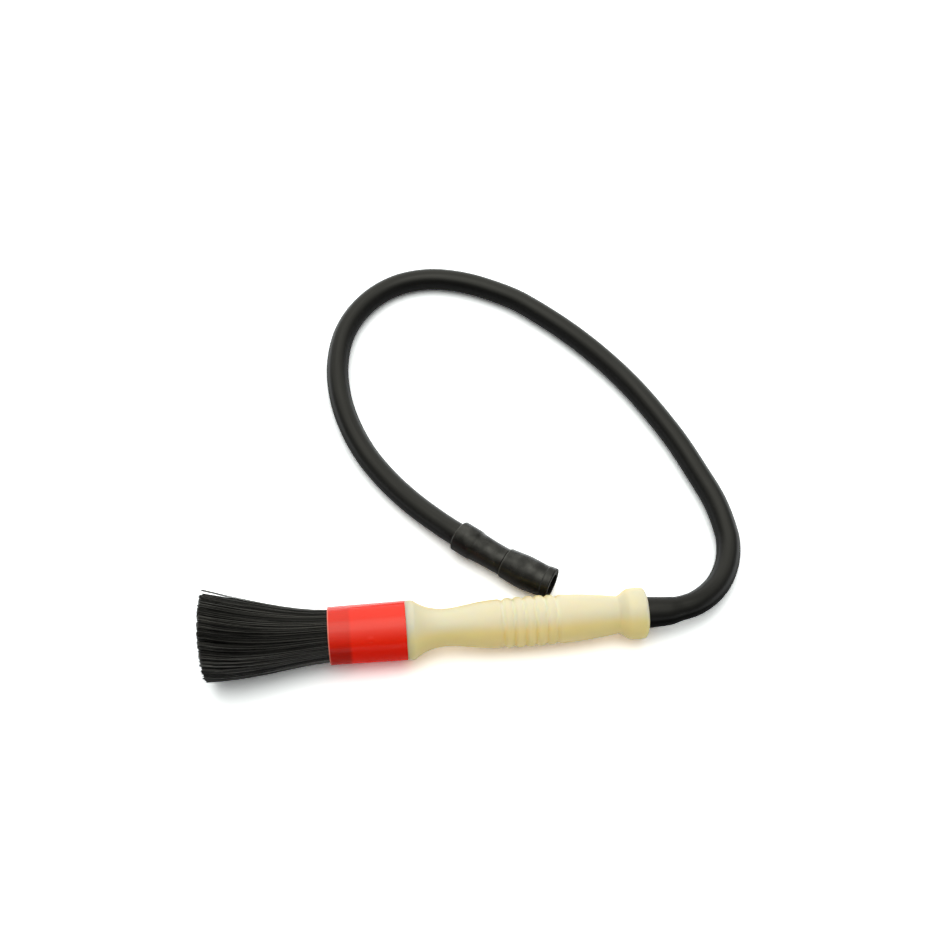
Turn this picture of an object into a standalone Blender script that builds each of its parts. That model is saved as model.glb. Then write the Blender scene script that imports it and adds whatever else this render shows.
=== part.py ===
# A flow-through parts cleaning brush: a tuft of bristles in a translucent ferrule, a turned handle
# with five finger ribs, and a rubber hose that ends in a sleeve and an open inlet socket.
# All lengths are in metres. The brush lies on the floor along X, bristles at -X and hose at +X.
# The origin is on the floor, under the middle of the brush without its hose.
# The brush's own pieces are turned about one axis, local Z. Local zero is where the ferrule meets
# the handle's flange, the bristles point to local -Z, and local X points to the floor.

import bisect
import math
import random

import bmesh
import bpy
from mathutils import Vector
from mathutils.geometry import delaunay_2d_cdt, interpolate_bezier

# Clearances and edges that the pieces share
fit_gap = 0.0003
edge_round = 0.0004
cut_overrun = 0.002
weld_distance = 0.00001
turned_steps = 36

# Ferrule
ferrule_length = 0.0394
ferrule_mouth_radius = 0.0149
ferrule_rear_radius = 0.0153
ferrule_wall = 0.0010

# Handle: places are distances behind the flange's front face
tenon_length = 0.0200
flange_length = 0.0043
flange_round = 0.0010
flange_shoulder = 0.0004
front_neck_place = 0.0213
front_neck_radius = 0.0098
grip_start = 0.0482
grip_radius = 0.01255
rib_count = 5
rib_start = 0.0498
rib_pitch = 0.00556
rib_height = 0.0012
rib_crown_radius = 0.0131
rib_end_drop = 0.0004
grip_end = 0.0795
rear_neck_place = 0.1098
rear_neck_radius = 0.0097
collar_start = 0.1169
collar_place = 0.1198
collar_radius = 0.01341
collar_end = 0.1226
collar_crest_drop = 0.00013
collar_end_radius = 0.0115
handle_length = 0.1247
handle_bore_radius = 0.00325
spigot_length = 0.0105
spigot_clearance = 0.0004
spigot_nose = 0.0009

# Flow tube and cast setting
flow_tube_radius = 0.0040
flow_tube_wall = 0.0010
tube_seat_depth = 0.0080
tube_stand_out = 0.0040
bristle_depth = 0.0110
backing_thickness = 0.0020

# Bristles
tuft_reach = 0.0648
tip_half_width = 0.0223
tip_lift = 0.0084
tip_floor_gap = 0.0012
tip_arc_depth = 0.0022
tip_scatter = 0.0012
strand_gap = 0.0003
ring_growth = 6
hole_ring = 3
first_strand_ring = 5
rim_ring = 9
station_shares = (0.0, 0.5, 1.0)

# Hose
hose_radius = 0.0065
hose_wall = 0.0025
hose_spacing = 0.0165
hose_side_steps = 4
flare_radius = 0.0083
flare_shoulder_radius = 0.0075
flare_shoulder_place = 0.0108
flare_length = 0.0192
flare_stations = 3
straight_length = 0.0112
hose_insert = 0.0100

# The hose's route from the handle's end face, read from the photograph: how far along X and Y from the
# exit, and how far above the height at which the hose lies on the floor
hose_route = (
    (0.0172, 0.0008, 0.0065),
    (0.0263, 0.0035, 0.0056),
    (0.0349, 0.0090, 0.0039),
    (0.0425, 0.0167, 0.0022),
    (0.0485, 0.0265, 0.0008),
    (0.0522, 0.0370, 0.0001),
    (0.0535, 0.0477, 0.0),
    (0.0514, 0.0686, 0.0),
    (0.0457, 0.0887, 0.0),
    (0.0353, 0.1189, 0.0),
    (0.0165, 0.1583, 0.0),
    (-0.0083, 0.1947, 0.0),
    (-0.0386, 0.2271, 0.0),
    (-0.0566, 0.2397, 0.0),
    (-0.0758, 0.2489, 0.0),
    (-0.0964, 0.2530, 0.0),
    (-0.1170, 0.2492, 0.0),
    (-0.1352, 0.2363, 0.0),
    (-0.1485, 0.2160, 0.0),
    (-0.1546, 0.1912, 0.0),
    (-0.1544, 0.1656, 0.0),
    (-0.1494, 0.1418, 0.0),
    (-0.1410, 0.1201, 0.0),
    (-0.1299, 0.1013, 0.0),
    (-0.1173, 0.0848, 0.0003),
    (-0.1038, 0.0699, 0.0013),
)
# The same for the middle line of the sleeve and socket: sleeve start, joint, socket end and beyond it
fitting_route = (
    (-0.0926, 0.0587),
    (-0.0692, 0.0393),
    (-0.0457, 0.0234),
    (-0.0359, 0.0190),
)

# Sleeve on the hose's far end
sleeve_length = 0.0300
sleeve_wall = 0.0018
sleeve_grip_length = 0.0102
sleeve_step_length = 0.0030
sleeve_waist_radius = 0.0080
sleeve_neck_radius = 0.0076
sleeve_spigot_length = 0.0070
flow_bore_radius = 0.0035

# Inlet socket
socket_length = 0.0280
socket_bore_radius = 0.0055
socket_rear_radius = 0.0084
socket_belly_radius = 0.0092
socket_belly_place = 0.0125
socket_waist_place = 0.0236
socket_waist_radius = 0.0086
socket_bead_radius = 0.0089
fitting_side_steps = 10
bore_stations = 3

# Sizes that follow from those above
ferrule_bore_radius = ferrule_mouth_radius - ferrule_wall
tenon_radius = ferrule_bore_radius - fit_gap
flange_radius = ferrule_rear_radius
flange_edge_place = flange_length - flange_round
mouth_height = -fit_gap - ferrule_length
backing_rear = mouth_height + bristle_depth
backing_front = backing_rear - backing_thickness
backing_radius = ferrule_bore_radius - fit_gap
backing_hole_radius = flow_tube_radius + fit_gap
tip_height = mouth_height - tuft_reach
hose_bore_radius = hose_radius - hose_wall
spigot_radius = flare_shoulder_radius - hose_wall - spigot_clearance
spigot_end = handle_length + spigot_length
sleeve_radius = hose_radius + fit_gap + sleeve_wall
sleeve_spigot_radius = socket_bore_radius - fit_gap
fitting_height = max(sleeve_radius, socket_belly_radius)

# The brush touches the floor at the flange's rear edge and at the end collar, so its axis leans
lean = math.atan((flange_radius - collar_radius) / (collar_place - flange_edge_place))
brush_middle = (tip_height + spigot_end) / 2


def axis_height(height):
    # How high the brush's axis is above the floor at a local height
    return flange_radius * math.cos(lean) + (flange_edge_place - height) * math.sin(lean)


tip_half_height = axis_height(tip_height) + tip_lift - tip_floor_gap


def blend(start, end, share):
    return start + (end - start) * share


def scoop(share):
    return 1 - (1 - share) ** 2.5


def swell(share):
    return (1 - math.cos(math.pi * share**0.8)) / 2


def taper(share):
    return share**1.7


def roll(share):
    return share**2.8


def ease(start, end, share_of, count):
    # Points after start up to end, each (radius, height), whose radius follows share_of
    steps = [step / count for step in range(1, count + 1)]
    return [(blend(start[0], end[0], share_of(s)), blend(start[1], end[1], s)) for s in steps]


def corner_round(before, corner, after, size, steps=2):
    # A corner of an outline as an arc that touches both of its sides
    before, corner, after = Vector(before), Vector(corner), Vector(after)
    to_before, to_after = (before - corner).normalized(), (after - corner).normalized()
    half_angle = to_before.angle(to_after) / 2
    inset = size / math.tan(half_angle)
    centre = corner + (to_before + to_after).normalized() * size / math.sin(half_angle)
    start, end = corner + to_before * inset - centre, corner + to_after * inset - centre
    arc = [start.slerp(end, step / steps) for step in range(steps + 1)]
    return [tuple(centre + arm.normalized() * size) for arm in arc]


def fresh_collection(name):
    collection = bpy.data.collections.new(name)
    bpy.context.scene.collection.children.link(collection)
    return collection


def coat(thing, colour, roughness, alpha=1.0):
    # A plain material of the piece's own
    material = bpy.data.materials.new(thing.name)
    material.use_nodes = True
    shader = material.node_tree.nodes["Principled BSDF"]
    shader.inputs["Base Color"].default_value = (*colour, 1.0)
    shader.inputs["Roughness"].default_value = roughness
    shader.inputs["Metallic"].default_value = 0.0
    shader.inputs["Alpha"].default_value = alpha
    thing.data.materials.clear()
    thing.data.materials.append(material)


def settle(thing):
    # The object's modifiers as plain faces, shaded smooth up to its sharp edges
    shape = thing.evaluated_get(bpy.context.evaluated_depsgraph_get())
    mesh = bpy.data.meshes.new_from_object(shape)
    mesh.name = thing.name
    thing.modifiers.clear()
    thing.data = mesh
    mesh.shade_smooth()
    mesh.set_sharp_from_angle(angle=math.radians(35))


def turned(name, outline):
    # A piece turned about the brush's axis; the outline runs down its outer side and up its bore
    mesh = bpy.data.meshes.new(name)
    count = len(outline)
    edges = [(place, (place + 1) % count) for place in range(count)]
    mesh.from_pydata([(radius, 0, height) for radius, height in outline], edges, [])
    thing = bpy.data.objects.new(name, mesh)
    brush.objects.link(thing)
    thing.parent = brush_axis
    screw = thing.modifiers.new("Turn", "SCREW")
    screw.steps = screw.render_steps = turned_steps
    screw.use_merge_vertices = True
    screw.merge_threshold = weld_distance
    bpy.context.view_layer.update()
    settle(thing)
    return thing


def ferrule():
    top, mouth = -fit_gap, mouth_height
    rear_edge, mouth_edge = (ferrule_rear_radius, top), (ferrule_mouth_radius, mouth)
    bore_top, bore_mouth = (ferrule_bore_radius, top), (ferrule_bore_radius, mouth)
    outline = corner_round(bore_top, rear_edge, mouth_edge, edge_round)
    outline += corner_round(rear_edge, mouth_edge, bore_mouth, edge_round)
    outline += [bore_mouth, bore_top]
    coat(turned("ferrule", outline), (0.78, 0.03, 0.01), 0.25, 0.9)


def rib_outline():
    # Rounded ribs between narrow grooves, lower towards both ends of their row
    count = rib_count * 4
    middle = rib_start + rib_pitch * rib_count / 2
    points = []
    for step in range(count + 1):
        place = blend(rib_start, rib_start + rib_pitch * rib_count, step / count)
        from_middle = (place - middle) / (rib_pitch * rib_count / 2)
        across = (step % 4) / 2 - 1 if step % 4 else 1
        crown = rib_crown_radius - rib_end_drop * from_middle**2
        points.append((crown - rib_height * across**2, place))
    return points


def handle_outside():
    # The handle from its flange to its end face
    flange_front = (flange_radius, 0)
    flange_rear = (flange_radius - flange_shoulder, flange_length)
    front_neck = (front_neck_radius, front_neck_place)
    rear_neck = (rear_neck_radius, rear_neck_place)
    collar = (collar_radius, collar_place)
    crest_start = (collar_radius - collar_crest_drop, collar_start)
    crest_end = (collar_radius - collar_crest_drop, collar_end)
    end_edge = (collar_end_radius, handle_length)
    ribs = rib_outline()
    points = corner_round((tenon_radius, 0), flange_front, flange_rear, edge_round)
    points += [(flange_radius, flange_edge_place), flange_rear]
    points += ease(flange_rear, front_neck, scoop, 6)
    points += ease(front_neck, (grip_radius, grip_start), swell, 6)
    points += ribs
    points += [(grip_radius, grip_end)]
    points += ease((grip_radius, grip_end), rear_neck, taper, 6)
    points += ease(rear_neck, crest_start, swell, 5)
    points += [collar, crest_end]
    points += ease(crest_end, end_edge, roll, 4)
    return points


def handle():
    seat_radius = flow_tube_radius + fit_gap
    seat_bottom = tube_seat_depth - tenon_length
    tenon_front, tenon_root = (tenon_radius, -tenon_length), (tenon_radius, 0)
    spigot_root, nose = (spigot_radius, handle_length), (spigot_radius, spigot_end)
    bore_end = (handle_bore_radius, spigot_end)
    outside = corner_round((seat_radius, -tenon_length), tenon_front, tenon_root, edge_round)
    outside += [tenon_root] + handle_outside() + [spigot_root]
    outside += corner_round(spigot_root, nose, bore_end, spigot_nose)
    inside = [bore_end, (handle_bore_radius, seat_bottom)]
    inside += [(seat_radius, seat_bottom), (seat_radius, -tenon_length)]
    coat(turned("handle", outside[::-1] + inside[::-1]), (0.80, 0.72, 0.50), 0.35)


def plain_ring(name, outer, inner, bottom, top):
    return turned(name, [(outer, top), (outer, bottom), (inner, bottom), (inner, top)])


def setting_plug():
    bottom, top = backing_rear + fit_gap, -tenon_length - fit_gap
    plug = plain_ring("setting_plug", backing_radius, backing_hole_radius, bottom, top)
    coat(plug, (0.55, 0.42, 0.22), 0.4)


def flow_tube():
    bottom, top = backing_front - tube_stand_out, tube_seat_depth - tenon_length - fit_gap
    tube = plain_ring("flow_tube", flow_tube_radius, flow_tube_radius - flow_tube_wall, bottom, top)
    coat(tube, (0.75, 0.75, 0.72), 0.4)


def ring_radius(ring):
    return blend(backing_hole_radius, backing_radius, (ring - hole_ring) / (rim_ring - hole_ring))


def backing_face(shape):
    # The slice's front as near-equal triangles between rings, six more points on each ring outwards
    points = []
    for ring in range(hole_ring, rim_ring + 1):
        count = ring_growth * ring
        for step in range(count):
            turn = 2 * math.pi * step / count
            points.append(Vector((math.cos(turn), math.sin(turn))) * ring_radius(ring))
    places, _, triangles, *_ = delaunay_2d_cdt(points, [], [], 0, weld_distance / 10)
    corners = [shape.verts.new((place.x, place.y, backing_front)) for place in places]
    rooted = []
    for triangle in triangles:
        centre = sum((places[index] for index in triangle), Vector((0, 0))) / 3
        if centre.length > backing_hole_radius:
            face = shape.faces.new([corners[index] for index in reversed(triangle)])
            if centre.length > ring_radius(first_strand_ring):
                rooted.append(face)
    return rooted


def close_backing(shape):
    # The slice's rim, hole and back
    edges = [edge for edge in shape.edges if edge.is_boundary]
    walls = bmesh.ops.extrude_edge_only(shape, edges=edges)["geom"]
    moved = [piece for piece in walls if isinstance(piece, bmesh.types.BMVert)]
    bmesh.ops.translate(shape, verts=moved, vec=(0, 0, backing_thickness))
    back = [piece for piece in walls if isinstance(piece, bmesh.types.BMEdge) and piece.is_boundary]
    bmesh.ops.bridge_loops(shape, edges=back)


def strand_place(root, share):
    # Where a strand's middle is, at a share of the tuft's reach past the mouth. The tuft spreads
    # sideways early, and rises and thickens late, where the floor bends it up.
    width = blend(backing_radius, tip_half_width, math.sin(math.pi / 2 * share) ** 1.5)
    depth = blend(backing_radius, tip_half_height, share**2.2)
    down = root.x / backing_radius * depth - tip_lift * share**2.2
    return Vector((down, root.y / backing_radius * width, mouth_height - tuft_reach * share))


def grow_strand(shape, face, chance):
    # One strand, pushed out of its face of the backing station by station
    root = face.calc_center_median()
    outward = Vector((root.x, root.y)).length - ring_radius(first_strand_ring)
    outward_share = outward / (backing_radius - ring_radius(first_strand_ring))
    short = tip_arc_depth * outward_share**2 + tip_scatter * chance.random()
    end_share = 1 - short / tuft_reach
    for share in station_shares:
        face = bmesh.ops.extrude_discrete_faces(shape, faces=[face])["faces"][0]
        place = strand_place(root, min(share, end_share))
        bmesh.ops.translate(shape, verts=face.verts, vec=place - face.calc_center_median())


def bristle_tuft():
    chance = random.Random(7)
    shape = bmesh.new()
    rooted = backing_face(shape)
    close_backing(shape)
    bmesh.ops.inset_individual(shape, faces=rooted, thickness=strand_gap / 2, use_even_offset=True)
    for face in rooted:
        grow_strand(shape, face, chance)
    bmesh.ops.recalc_face_normals(shape, faces=shape.faces)
    mesh = bpy.data.meshes.new("bristle_tuft")
    shape.to_mesh(mesh)
    shape.free()
    tuft = bpy.data.objects.new("bristle_tuft", mesh)
    brush.objects.link(tuft)
    tuft.parent = brush_axis
    coat(tuft, (0.012, 0.012, 0.013), 0.45)
    print(f"{len(rooted)} strands in the tuft")


def smooth_line(knots):
    # A smooth curve through the knots as short steps, and each knot's distance along it
    last = len(knots) - 1
    leads = [(knots[min(i + 1, last)] - knots[max(i - 1, 0)]).normalized() for i in range(last + 1)]
    points, along, knot_along = [knots[0]], [0.0], [0.0]
    for i in range(last):
        arm = (knots[i + 1] - knots[i]).length / 3
        arms = knots[i] + leads[i] * arm, knots[i + 1] - leads[i + 1] * arm
        for point in interpolate_bezier(knots[i], *arms, knots[i + 1], 13)[1:]:
            along.append(along[-1] + (point - points[-1]).length)
            points.append(point)
        knot_along.append(along[-1])
    return points, along, knot_along


def hose_knots():
    # The exit is on the handle's end face; the hose stays on the handle's axis over the spigot
    axis = brush_axis.matrix_world
    start = axis @ Vector((0, 0, handle_length + fit_gap))
    ahead = (axis.to_3x3() @ Vector((0, 0, 1))).normalized()
    knots = [start, start + ahead * straight_length / 2, start + ahead * straight_length]
    knots += [Vector((start.x + x, start.y + y, hose_radius + rise)) for x, y, rise in hose_route]
    knots += [Vector((start.x + x, start.y + y, fitting_height)) for x, y in fitting_route]
    return knots


def place_at(line, distance):
    # The line's point at a distance; past either end it runs straight on
    points, along, _ = line
    step = min(max(bisect.bisect_right(along, distance), 1), len(points) - 1)
    share = (distance - along[step - 1]) / (along[step] - along[step - 1])
    return blend(points[step - 1], points[step], share)


def tube(name, line, stations, side_steps, collection):
    # A closed tube along the line, through stations of (distance along the line, radius)
    widest = max(radius for _, radius in stations)
    curve = bpy.data.curves.new(name, "CURVE")
    curve.dimensions = "3D"
    curve.resolution_u = 1
    curve.bevel_depth = widest
    curve.bevel_resolution = side_steps
    curve.use_fill_caps = True
    spline = curve.splines.new("POLY")
    spline.points.add(len(stations) - 1)
    for point, (distance, radius) in zip(spline.points, stations):
        point.co = (*place_at(line, distance), 1)
        point.radius = radius / widest
    guide = bpy.data.objects.new(f"{name}_guide", curve)
    collection.objects.link(guide)
    bpy.context.view_layer.update()
    shape = guide.evaluated_get(bpy.context.evaluated_depsgraph_get())
    mesh = bpy.data.meshes.new_from_object(shape)
    mesh.name = name
    welded = bmesh.new()
    welded.from_mesh(mesh)
    bmesh.ops.remove_doubles(welded, verts=welded.verts, dist=weld_distance)
    bmesh.ops.recalc_face_normals(welded, faces=welded.faces)
    welded.to_mesh(mesh)
    welded.free()
    thing = bpy.data.objects.new(name, mesh)
    thing.matrix_world = guide.matrix_world
    collection.objects.link(thing)
    bpy.data.objects.remove(guide)
    return thing


def even_stations(start, end, radius, count):
    # Stations of one radius, so that a bore bends with its tube
    return [(blend(start, end, step / count), radius) for step in range(count + 1)]


def bored_tube(name, line, outer, bore, side_steps):
    # A tube with a bore of its own stations cut through it
    thing = tube(name, line, outer, side_steps, brush)
    cutter = tube(f"{name}_bore", line, bore, side_steps, cutters)
    cutter.hide_render = True
    cutter.display_type = "WIRE"
    cut = thing.modifiers.new("Bore", "BOOLEAN")
    cut.operation = "DIFFERENCE"
    cut.object = cutter
    bpy.context.view_layer.update()
    settle(thing)
    return thing


def hose_outer(distance):
    # The hose's radius: widened over the spigot, then back to its own size
    if distance < flare_shoulder_place:
        return blend(flare_radius, flare_shoulder_radius, distance / flare_shoulder_place)
    share = min((distance - flare_shoulder_place) / (flare_length - flare_shoulder_place), 1)
    return blend(flare_shoulder_radius, hose_radius, (1 - math.cos(math.pi * share)) / 2)


def hose(line, sleeve_start):
    end = sleeve_start + hose_insert
    distances = [0.0, flare_shoulder_place]
    distances += [
        blend(flare_shoulder_place, flare_length, (step + 1) / flare_stations)
        for step in range(flare_stations)
    ]
    count = max(2, round((end - flare_length) / hose_spacing))
    distances += [blend(flare_length, end, (step + 1) / count) for step in range(count)]
    outer = [(distance, hose_outer(distance)) for distance in distances]
    bore = [(distance, radius - hose_wall) for distance, radius in outer]
    bore[0] = (-cut_overrun, bore[0][1])
    bore[-1] = (end + cut_overrun, bore[-1][1])
    thing = bored_tube("hose", line, outer, bore, hose_side_steps)
    coat(thing, (0.013, 0.013, 0.014), 0.4)
    print(f"Hose length {end:.4f} m")


def hose_sleeve(line, start):
    neck_end = start + sleeve_length
    spigot_stop = neck_end + sleeve_spigot_length
    grip_stop = (sleeve_radius, start + sleeve_grip_length)
    waist = (sleeve_waist_radius, start + sleeve_grip_length + sleeve_step_length)
    neck = ease(grip_stop, waist, swell, 3) + ease(waist, (sleeve_neck_radius, neck_end), scoop, 3)
    outer = [(start, sleeve_radius - edge_round), (start + edge_round, sleeve_radius)]
    outer += [(grip_stop[1], grip_stop[0])]
    outer += [(place, radius) for radius, place in neck]
    outer += even_stations(
        neck_end + fit_gap / 2, spigot_stop - edge_round, sleeve_spigot_radius, bore_stations
    )
    outer += [(spigot_stop, sleeve_spigot_radius - edge_round)]
    seat_radius, seat_end = hose_radius + fit_gap, start + hose_insert + fit_gap
    bore = even_stations(start - cut_overrun, seat_end, seat_radius, bore_stations)
    bore += even_stations(seat_end + edge_round, spigot_stop + cut_overrun, flow_bore_radius, bore_stations)
    thing = bored_tube("hose_sleeve", line, outer, bore, fitting_side_steps)
    coat(thing, (0.022, 0.022, 0.021), 0.6)


def inlet_socket(line, start):
    end = start + socket_length
    rear = (socket_rear_radius, start + edge_round)
    belly = (socket_belly_radius, start + socket_belly_place)
    waist = (socket_waist_radius, start + socket_waist_place)
    outer = [(start, socket_rear_radius - edge_round), (rear[1], rear[0])]
    body = ease(rear, belly, swell, 4) + ease(belly, waist, swell, 4)
    outer += [(place, radius) for radius, place in body]
    outer += [(waist[1] + edge_round, socket_bead_radius)]
    outer += [(end - edge_round, socket_bead_radius), (end, socket_bead_radius - edge_round)]
    bore = even_stations(
        start - cut_overrun, end + cut_overrun, socket_bore_radius, 3 * bore_stations
    )
    thing = bored_tube("inlet_socket", line, outer, bore, fitting_side_steps)
    coat(thing, (0.022, 0.022, 0.021), 0.6)


for old in list(bpy.context.scene.objects):
    bpy.data.objects.remove(old)

brush = fresh_collection("parts_cleaning_brush")
cutters = fresh_collection("cutters")

brush_axis = bpy.data.objects.new("brush_axis", None)
brush.objects.link(brush_axis)
brush_axis.rotation_euler = (0, math.pi / 2 + lean, 0)
brush_axis.location = (-brush_middle * math.cos(lean), 0, axis_height(0))
bpy.context.view_layer.update()

ferrule()
handle()
setting_plug()
flow_tube()
bristle_tuft()

route = smooth_line(hose_knots())
sleeve_start = route[2][len(route[2]) - len(fitting_route)]
hose(route, sleeve_start)
hose_sleeve(route, sleeve_start)
inlet_socket(route, sleeve_start + sleeve_length + fit_gap)
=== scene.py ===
import bpy
import numpy as np
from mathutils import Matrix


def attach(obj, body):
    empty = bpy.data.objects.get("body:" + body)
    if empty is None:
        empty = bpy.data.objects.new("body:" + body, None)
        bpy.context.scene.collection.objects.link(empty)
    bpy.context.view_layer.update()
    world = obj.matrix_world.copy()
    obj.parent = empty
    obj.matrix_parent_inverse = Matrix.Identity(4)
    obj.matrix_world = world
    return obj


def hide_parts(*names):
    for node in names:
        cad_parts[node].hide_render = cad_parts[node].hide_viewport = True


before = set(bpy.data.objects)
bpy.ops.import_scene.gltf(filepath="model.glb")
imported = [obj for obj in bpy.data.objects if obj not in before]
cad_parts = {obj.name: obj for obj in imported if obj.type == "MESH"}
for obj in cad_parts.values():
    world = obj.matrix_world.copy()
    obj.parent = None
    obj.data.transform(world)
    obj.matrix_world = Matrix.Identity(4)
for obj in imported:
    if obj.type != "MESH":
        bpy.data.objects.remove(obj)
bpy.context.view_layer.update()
print("Packed solids loaded:", ", ".join(sorted(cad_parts)))

fits = {
    "gap": 0.0003,  # between pieces that touch
    "edge": 0.00025,  # rounding of small edges
}

rounding = {
    "steps": 5,  # points round a corner
    "sharpDegrees": 14,  # corners that turn less than this stay as they are
    "mostOfSide": 0.3,  # the largest share of a side that a corner takes
    "hold": 1.4,  # where the points that hold the flat sides are, in corner sizes
}

lineValues = {
    "steps": 12,  # points between two knots
    "lookAhead": 0.0004,  # how far to each side a line's direction is taken
}


# A value between two others, at a share of the way from the first to the second
def blend(start, end, share):
    return start + (end - start) * share


# A share of a rise that is steep at first and then flat: one, less a power of what is left of the way
def scoop(share):
    return 1 - (1 - share) ** 2.5


# A share of a rise that is flat at both ends and steeper near the first: half a cosine wave
def swell(share):
    return (1 - np.cos(np.pi * share**0.8)) / 2


# Points (place, radius) from start to end, whose radius follows a share function
def easeTo(start, end, shareOf, steps):
    share = np.arange(1, steps + 1) / steps
    return np.stack([blend(start[0], end[0], share), blend(start[1], end[1], shareOf(share))], 1)


# A vector divided by its length
def unit(vectors):
    return vectors / np.linalg.norm(vectors, axis=-1, keepdims=True)


# A closed outline whose sharp corners become short curves: each corner is replaced by a parabola that
# starts and ends one size away from it, with one more point before and after it to hold the flat sides
def soften(outline, size, sharpDegrees=rounding["sharpDegrees"]):
    steps = rounding["steps"]
    outline = np.asarray(outline, float)
    toBefore = np.roll(outline, 1, 0) - outline
    toAfter = np.roll(outline, -1, 0) - outline
    before = np.linalg.norm(toBefore, axis=1, keepdims=True)
    after = np.linalg.norm(toAfter, axis=1, keepdims=True)
    turn = np.degrees(np.arccos(np.clip(-(toBefore * toAfter).sum(1) / (before * after)[:, 0], -1, 1)))
    start = outline + toBefore / before * np.minimum(size, rounding["mostOfSide"] * before)
    end = outline + toAfter / after * np.minimum(size, rounding["mostOfSide"] * after)
    share = np.linspace(0, 1, steps)[None, :, None]
    corner = outline[:, None]
    curve = (1 - share) ** 2 * start[:, None] + 2 * share * (1 - share) * corner + share**2 * end[:, None]
    holdBefore = corner + (start[:, None] - corner) * rounding["hold"]
    holdAfter = corner + (end[:, None] - corner) * rounding["hold"]
    rows = np.concatenate([holdBefore, curve, holdAfter], 1)
    isSharp = turn > sharpDegrees
    isMiddle = np.arange(steps + 2) == (steps + 1) // 2
    rows[~isSharp] = corner[~isSharp]
    return rows[isSharp[:, None] | isMiddle[None, :]]


# A line through points: the distance of each point along it is the running sum of its steps
def makeLine(points):
    points = np.asarray(points, float)
    steps = np.linalg.norm(np.diff(points, axis=0), axis=1)
    return {"points": points, "along": np.concatenate([[0.0], np.cumsum(steps)])}


# A line's points at some distances, each between its two nearest points
def placesOn(line, distances):
    return np.stack([np.interp(distances, line["along"], line["points"][:, axis]) for axis in range(3)], -1)


# A smooth line through knots: between two knots a Bezier curve whose arms are a third of their distance
# long and run along the direction from the knot before to the knot after
def smoothLine(knots):
    steps = lineValues["steps"]
    padded = np.concatenate([knots[:1], knots, knots[-1:]])
    leads = unit(padded[2:] - padded[:-2])
    arm = np.linalg.norm(np.diff(knots, axis=0), axis=1, keepdims=True) / 3
    first = (knots[:-1] + leads[:-1] * arm)[:, None]
    second = (knots[1:] - leads[1:] * arm)[:, None]
    share = (np.arange(steps) / steps)[None, :, None]
    curve = (1 - share) ** 3 * knots[:-1, None] + 3 * share * (1 - share) ** 2 * first
    curve += 3 * share**2 * (1 - share) * second + share**3 * knots[1:, None]
    line = makeLine(np.concatenate([curve.reshape(-1, 3), knots[-1:]]))
    line["knotAlong"] = line["along"][::steps]
    return line


# The two directions across a line. Its own direction at a distance runs from a point just behind it to
# a point just ahead of it.
def directionsOn(line, distances):
    step = lineValues["lookAhead"]
    return crossings(unit(placesOn(line, distances + step) - placesOn(line, distances - step)))


# The level direction across each vector, and the one that is square to both
def crossings(ahead):
    sideways = unit(np.cross((0.0, 0.0, 1.0), ahead))
    return sideways, np.cross(ahead, sideways)


# A mesh object from arrays of points and faces, with its point attributes and its finish. All its faces
# are smooth but for some at the list's end.
def makePiece(name, points, faces, finish, attributes, flatFaces=0):
    mesh = bpy.data.meshes.new(name)
    mesh.from_pydata(points.reshape(-1, 3), [], faces)
    smooth = np.ones(len(mesh.polygons), bool)
    smooth[len(smooth) - flatFaces:] = False
    mesh.polygons.foreach_set("use_smooth", smooth)
    for key, values in attributes.items():
        kind, field = ("FLOAT_VECTOR", "vector") if values.ndim == 2 else ("FLOAT", "value")
        mesh.attributes.new(key, kind, "POINT").data.foreach_set(field, values.astype(np.float32).ravel())
    mesh.materials.append(finish)
    mesh.update()
    piece = bpy.data.objects.new(name, mesh)
    bpy.context.scene.collection.objects.link(piece)
    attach(piece, "root")
    return piece


# The four corners of each face between neighbouring rows and columns of a grid of point numbers
def gridFaces(rows, columns, closedRows):
    numbers = np.arange(rows * columns).reshape(rows, columns)
    lower = numbers if closedRows else numbers[:-1]
    upper = np.roll(numbers, -1, 0) if closedRows else numbers[1:]
    corners = lower, np.roll(lower, -1, 1), np.roll(upper, -1, 1), upper
    return np.stack(corners, -1).reshape(-1, 4).tolist()


# A round piece along a line: each ring's points are its middle on the line, plus its radius times the
# cosine of the angle sideways and the sine of the angle upwards. The outline is closed, or its two ends
# are closed with a fan. A shape is a function for what is added to the radius. The attribute straight is
# each point's place if the line were straight.
def sweep(name, line, outline, sides, finish, closed=True, marks=None, shape=None):
    distances, radii = outline[:, 0], outline[:, 1]
    middles = placesOn(line, distances)
    sideways, upwards = directionsOn(line, distances)
    angle = np.linspace(0, 2 * np.pi, sides, endpoint=False)[None, :]
    reach = np.repeat(radii[:, None], sides, 1)
    if shape:
        reach = reach + shape(distances[:, None], angle, reach)
    across, up = reach * np.cos(angle), reach * np.sin(angle)
    points = middles[:, None] + across[..., None] * sideways[:, None] + up[..., None] * upwards[:, None]
    straight = np.stack([across, up, np.repeat(distances[:, None], sides, 1)], -1)
    faces = gridFaces(len(outline), sides, closed)
    points, straight = points.reshape(-1, 3), straight.reshape(-1, 3)
    extra = {key: np.repeat(values, sides) for key, values in (marks or {}).items()}
    if not closed:
        ring = np.arange(sides)
        last = (len(outline) - 1) * sides
        start, end = len(points), len(points) + 1
        points = np.concatenate([points, middles[[0, -1]]])
        straight = np.concatenate([straight, [[0, 0, distances[0]], [0, 0, distances[-1]]]])
        faces += np.stack([np.full(sides, start), np.roll(ring, -1), ring], -1).tolist()
        faces += np.stack([np.full(sides, end), last + ring, last + np.roll(ring, -1)], -1).tolist()
        extra = {key: np.append(values, values[[0, -1]]) for key, values in extra.items()}
    return makePiece(name, points, faces, finish, {"straight": straight, **extra})


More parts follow.
